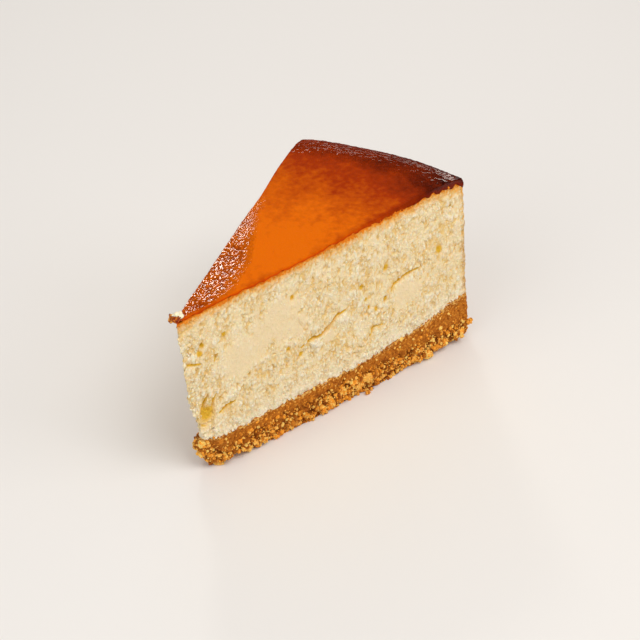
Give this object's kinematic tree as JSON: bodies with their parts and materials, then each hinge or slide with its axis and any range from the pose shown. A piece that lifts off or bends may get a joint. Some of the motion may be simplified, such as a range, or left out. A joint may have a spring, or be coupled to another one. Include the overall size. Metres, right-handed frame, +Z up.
{
  "type": "slice of baked cheesecake",
  "caption": "Cut wedge of tall baked cheesecake with a browned glossy top over pale crumbly curd on a pressed biscuit-crumb base.",
  "frame": {"origin": "centre of the slice's box in X and Y, on the surface that it rests on", "axes": "+Z up; +X from the cut tip towards the outer crust, along the slice's length; the pictured cut face is on the -Y side"},
  "size_m": [0.1146, 0.0612, 0.0672],
  "materials": {
    "curd": "pale cream baked cheese curd, matte and finely crumbly on the cuts, with a glossy orange to dark brown baked top",
    "biscuit": "golden brown pressed biscuit crumbs, dry and granular"
  },
  "bodies": {
    "root": {"cheese_filling": "curd", "biscuit_base": "biscuit"}
  },
  "joints": []
}
